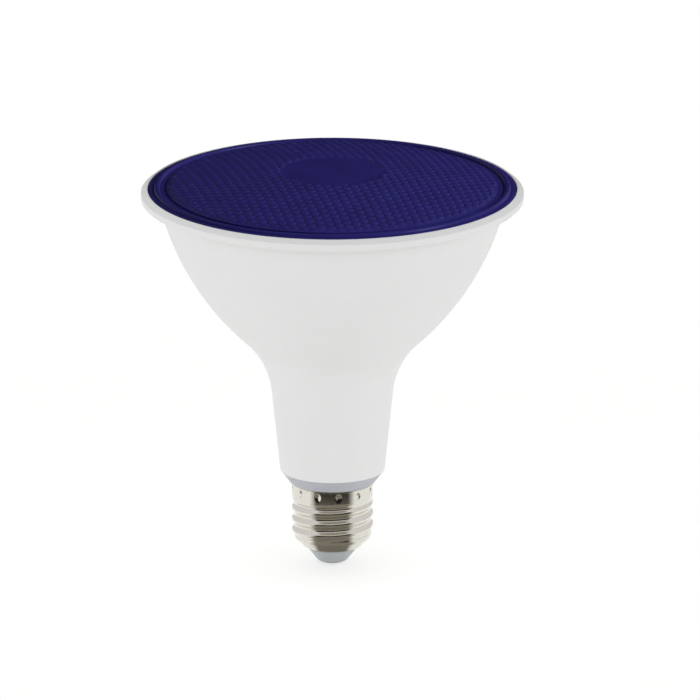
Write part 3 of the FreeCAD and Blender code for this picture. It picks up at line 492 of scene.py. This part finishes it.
# extrudes the selected edge loop and sets the new one at a radius and height; with no radius
# it goes straight up or down
def nextRing(mesh, radius, height):
    bpy.ops.mesh.extrude_region_move()
    cage = bmesh.from_edit_mesh(mesh)
    for vertex in cage.verts:
        if vertex.select:
            away = math.hypot(vertex.co.x, vertex.co.y)
            target = radius or away
            vertex.co.x *= target / away
            vertex.co.y *= target / away
            vertex.co.z = height
    bmesh.update_edit_mesh(mesh)


# selects the open edges nearer to or farther from the axis than a radius
def selectOpenEdges(mesh, limit, nearer):
    bpy.ops.mesh.select_mode(type="EDGE")
    bpy.ops.mesh.select_all(action="DESELECT")
    cage = bmesh.from_edit_mesh(mesh)
    for edge in cage.edges:
        away = max(math.hypot(vertex.co.x, vertex.co.y) for vertex in edge.verts)
        if edge.is_boundary and (away < limit) == nearer:
            edge.select_set(True)
    bmesh.update_edit_mesh(mesh)


# puts points, edges and faces in order of place, so that every run gives the same mesh
def orderByPlace(mesh):
    cage = bmesh.from_edit_mesh(mesh)
    for index, vertex in enumerate(sorted(cage.verts, key=lambda vertex: vertex.co[:])):
        vertex.index = index
    cage.verts.sort()
    for parts in (cage.edges, cage.faces):
        ranked = sorted(parts, key=lambda part: sorted(vertex.index for vertex in part.verts))
        for index, part in enumerate(ranked):
            part.index = index
        parts.sort()
    bmesh.update_edit_mesh(mesh)


def buildLens():
    field = cellField()
    mesh = field.data
    halfway = (lens["discRadius"] + fieldRadius) / 2
    selectOpenEdges(mesh, halfway, True)
    inner = lens["discRadius"] - lens["pitch"] / 2
    nextRing(mesh, inner, domeHeight(inner))
    for ring in range(1, lens["discRings"]):
        radius = inner * (1 - ring / lens["discRings"])
        nextRing(mesh, radius, domeHeight(radius))
    bpy.ops.mesh.merge(type="CENTER")
    selectOpenEdges(mesh, halfway, False)
    middle = lensRadius - lens["beadInset"]
    half = lens["beadWidth"] / 2
    nextRing(mesh, None, rimTop)
    nextRing(mesh, middle - half, rimTop)
    for step in range(1, lens["beadSteps"] + 1):
        angle = math.pi * (1 - step / lens["beadSteps"])
        nextRing(mesh, middle + half * math.cos(angle),
                 rimTop + lens["beadRise"] * math.sin(angle))
    nextRing(mesh, lensRadius - lens["corner"], rimTop)
    cut = lens["corner"] * lens["cornerMiddle"]
    nextRing(mesh, lensRadius - cut, rimTop - cut)
    nextRing(mesh, lensRadius, lensBottom + lens["edgeRise"])
    nextRing(mesh, lensRadius, lensBottom)
    bend = domeBend - lens["wall"]
    drop = lensTop - lens["wall"] - lensBottom - lens["footRise"]
    foot = math.sqrt(bend ** 2 - (bend - drop) ** 2)
    nextRing(mesh, foot, lensBottom)
    for ring in range(lens["innerRings"]):
        radius = foot * (1 - ring / lens["innerRings"])
        nextRing(mesh, radius, domeHeight(radius, lens["wall"]))
    bpy.ops.mesh.merge(type="CENTER")
    bpy.ops.mesh.select_all(action="SELECT")
    bpy.ops.mesh.normals_make_consistent(inside=False)
    orderByPlace(mesh)
    bpy.ops.object.mode_set(mode="OBJECT")
    field.name = "prismaticLens"
    bpy.ops.object.shade_smooth_by_angle(angle=math.radians(lens["smoothTo"]))
    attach(field, "root")
    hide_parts("front_lens")
    return field


# Tinted polycarbonate, injection moulded: deep blue all through and smooth, so the cushions
# shine dully on the side that faces the light.
def tintedPolycarbonate():
    material, tree = newMaterial("tintedPolycarbonate")
    place = addNode(tree, "ShaderNodeTexCoord")
    cloud = addNode(tree, "ShaderNodeTexNoise", {
        "Vector": place.outputs["Object"], "Scale": 1000 / lens["cloudMm"]})
    tone = addNode(tree, "ShaderNodeValToRGB", {"Fac": cloud.outputs["Fac"]})
    setRamp(tone, zip(toneStops, lens["tones"]))
    shader = addNode(tree, "ShaderNodeBsdfPrincipled", {
        "Base Color": tone.outputs["Color"], "Roughness": lens["rough"],
        "IOR": lens["refraction"], "Specular IOR Level": lens["specular"]})
    addNode(tree, "ShaderNodeOutputMaterial", {"Surface": shader.outputs[0]})
    return material


lensPlastic = tintedPolycarbonate()
prismaticLens = buildLens()
prismaticLens.data.materials.clear()
prismaticLens.data.materials.append(lensPlastic)
dress(lensPlastic, "front_lens")
print("lens built:", len(prismaticLens.data.polygons), "faces")


lamps = [
    {"name": "snoot", "spot": (2.2, -0.9, 1.6), "size": 0.5, "watts": 150.0,
     "lights": [prismaticLens]},   # a snoot holds its light to the lens
]


def softLamp(lamp):
    data = bpy.data.lights.new(lamp["name"], "AREA")
    data.shape = "SQUARE"
    data.size = lamp["size"]
    data.energy = lamp["watts"]
    source = bpy.data.objects.new(lamp["name"], data)
    bpy.context.scene.collection.objects.link(source)
    source.location = lamp["spot"]
    aim = Vector((0, 0, rimTop)) - Vector(lamp["spot"])
    source.rotation_euler = aim.to_track_quat("-Z", "Y").to_euler()
    if lamp["lights"]:
        held = bpy.data.collections.new(lamp["name"] + "Holds")
        for piece in lamp["lights"]:
            held.objects.link(piece)
        source.light_linking.receiver_collection = held


for lamp in lamps:
    softLamp(lamp)
print("lamps on")


# ABS, moulded with a satin tool: white with hardly a sheen
housing = {"tones": ("#E8E9E8", "#E9EAE9"), "rough": 0.45, "grainMm": 0.8, "bumpMm": 0.004,
           "specular": 0.25}
dress(mouldedFinish("satinWhiteAbs", **housing), "housing")

# PBT, moulded: a cool grey that is painted shade on a white plastic, a little shinier than the
# housing
cup = {"tones": ("#B4B7BD", "#B9BCC2"), "rough": 0.4, "grainMm": 0.4, "bumpMm": 0.003,
       "specular": 0.3}
dress(mouldedFinish("whitePbtPaintedShade", **cup), "driver_cup", "driver_lid")

# PBT, moulded on to the cap: a darker cool grey that is painted shade on a white plastic
tip = {"tones": ("#AFB4B6", "#B4B9BB"), "rough": 0.4, "grainMm": 0.4, "bumpMm": 0.003,
       "specular": 0.3}
dress(mouldedFinish("whiteInsulatorPbtPaintedShade", **tip), "cap_insulator")

# Brass sheet, rolled and nickel plated: a warm mirror with faint lines from the rollers, drawn
# in a little round the punch marks
capMetal = {"tones": ("#DAD7CE", "#DEDCD4"), "rough": 0.1, "grainMm": 0.6, "bumpMm": 0.0006,
            "stretch": (1.0, 1.0, 4.0),
            "dents": {"count": 12, "turn": 9.0, "height": reach("cap_shell", 2)[1] - 0.0024,
                      "halfWidth": 0.0013, "halfHeight": 0.0017, "depthMm": 0.34}}
dress(metalFinish("nickelPlatedSheet", **capMetal), "cap_shell")

# Brass, tinned: duller and warmer than the cap
contact = {"tones": ("#CFCBC0", "#D6D2C8"), "rough": 0.25, "grainMm": 0.5, "bumpMm": 0.002}
dress(metalFinish("tinnedBrass", **contact), "centre_contact")

# Aluminium, pressed: even and matt with a fine grain
sink = {"tones": ("#C9CBCD", "#D2D4D6"), "rough": 0.35, "grainMm": 0.8, "bumpMm": 0.002}
dress(metalFinish("pressedAluminium", **sink), "heat_sink_cup")

# Steel, zinc plated: bluish and bright
screws = {"tones": ("#C3C6CA", "#CBCED2"), "rough": 0.3, "grainMm": 0.4, "bumpMm": 0.001}
dress(metalFinish("zincPlatedSteel", **screws), "board_screws")

# Copper wire, tinned: soft grey, drawn lengthwise
tinnedWire = {"tones": ("#C8C5BF", "#D0CDC7"), "rough": 0.35, "grainMm": 0.4, "bumpMm": 0.001}
dress(metalFinish("tinnedCopper", **tinnedWire), "contact_wire", "shell_wire")

# Solder mask, printed on aluminium: glossy white
lightBoard = {"tones": ("#EDEDE8", "#F1F1ED"), "rough": 0.3, "grainMm": 0.5, "bumpMm": 0.002}
dress(mouldedFinish("whiteSolderMask", **lightBoard), "led_board")

# Silicone filled with phosphor: a soft egg-yolk yellow
lights = {"tones": ("#E9C25A", "#F0CC66"), "rough": 0.4, "grainMm": 0.3, "bumpMm": 0.004}
dress(mouldedFinish("phosphorSilicone", **lights), "led_packages")

# Nylon, moulded: ivory
plug = {"tones": ("#E9E4D2", "#EFEAD9"), "rough": 0.4, "grainMm": 0.5, "bumpMm": 0.003}
dress(mouldedFinish("ivoryNylon", **plug), "board_connector")

# Silicone rubber, moulded: milky and a little dull
gasket = {"tones": ("#D9DAD8", "#E0E1DF"), "rough": 0.45, "grainMm": 0.8, "bumpMm": 0.004}
dress(mouldedFinish("milkySilicone", **gasket), "lens_gasket")

# Glass fibre and epoxy with a green mask: the weave shows as a fine grain
driverBoard = {"tones": ("#2F6B3C", "#377846"), "rough": 0.4, "grainMm": 0.5, "bumpMm": 0.006}
dress(mouldedFinish("greenFibreglass", **driverBoard), "driver_board")

# Polyester tape, wound round the core: smooth yellow
tape = {"tones": ("#E0B63A", "#E7BF45"), "rough": 0.35, "grainMm": 0.5, "bumpMm": 0.003}
dress(mouldedFinish("yellowPolyesterTape", **tape), "transformer")

# PVC sleeves, shrunk on: smooth and dark
inputSleeve = {"tones": ("#1E2430", "#252B38"), "rough": 0.3, "grainMm": 0.5, "bumpMm": 0.003}
dress(mouldedFinish("blackPvcSleeve", **inputSleeve), "input_capacitor")
outputSleeve = {"tones": ("#1F2D55", "#263561"), "rough": 0.3, "grainMm": 0.5, "bumpMm": 0.003}
dress(mouldedFinish("bluePvcSleeve", **outputSleeve), "output_capacitor")

# Enamelled copper wire, wound: turns lie across the axis
choke = {"tones": ("#B06A3A", "#C07A48"), "rough": 0.3, "grainMm": 0.3, "bumpMm": 0.01,
         "stretch": (0.2, 0.2, 6.0)}
dress(metalFinish("enamelledCopper", **choke), "input_choke")

# Epoxy, dipped: glossy brick red with a slight orange peel
film = {"tones": ("#A33324", "#B03C2B"), "rough": 0.25, "grainMm": 0.8, "bumpMm": 0.006}
dress(mouldedFinish("redEpoxyDip", **film), "film_capacitor")

# Epoxy, moulded in a sparked tool: matt black
chips = {"tones": ("#1B1B1D", "#232326"), "rough": 0.5, "grainMm": 0.3, "bumpMm": 0.006}
dress(mouldedFinish("blackMouldedEpoxy", **chips), "bridge_rectifier", "driver_chip")

# Silicone enamel, dipped: green with a slight sheen
fuse = {"tones": ("#4E7C63", "#57876D"), "rough": 0.3, "grainMm": 0.5, "bumpMm": 0.004}
dress(mouldedFinish("greenResistorEnamel", **fuse), "fuse_resistor")

# PVC, extruded: smooth sheaths
redWire = {"tones": ("#B3261E", "#BE2F26"), "rough": 0.35, "grainMm": 0.4, "bumpMm": 0.003}
dress(mouldedFinish("redPvcSheath", **redWire), "led_wire_positive")
blackWire = {"tones": ("#1D1D1F", "#262629"), "rough": 0.35, "grainMm": 0.4, "bumpMm": 0.003}
dress(mouldedFinish("blackPvcSheath", **blackWire), "led_wire_negative")
print("materials on", len(nodes), "nodes")
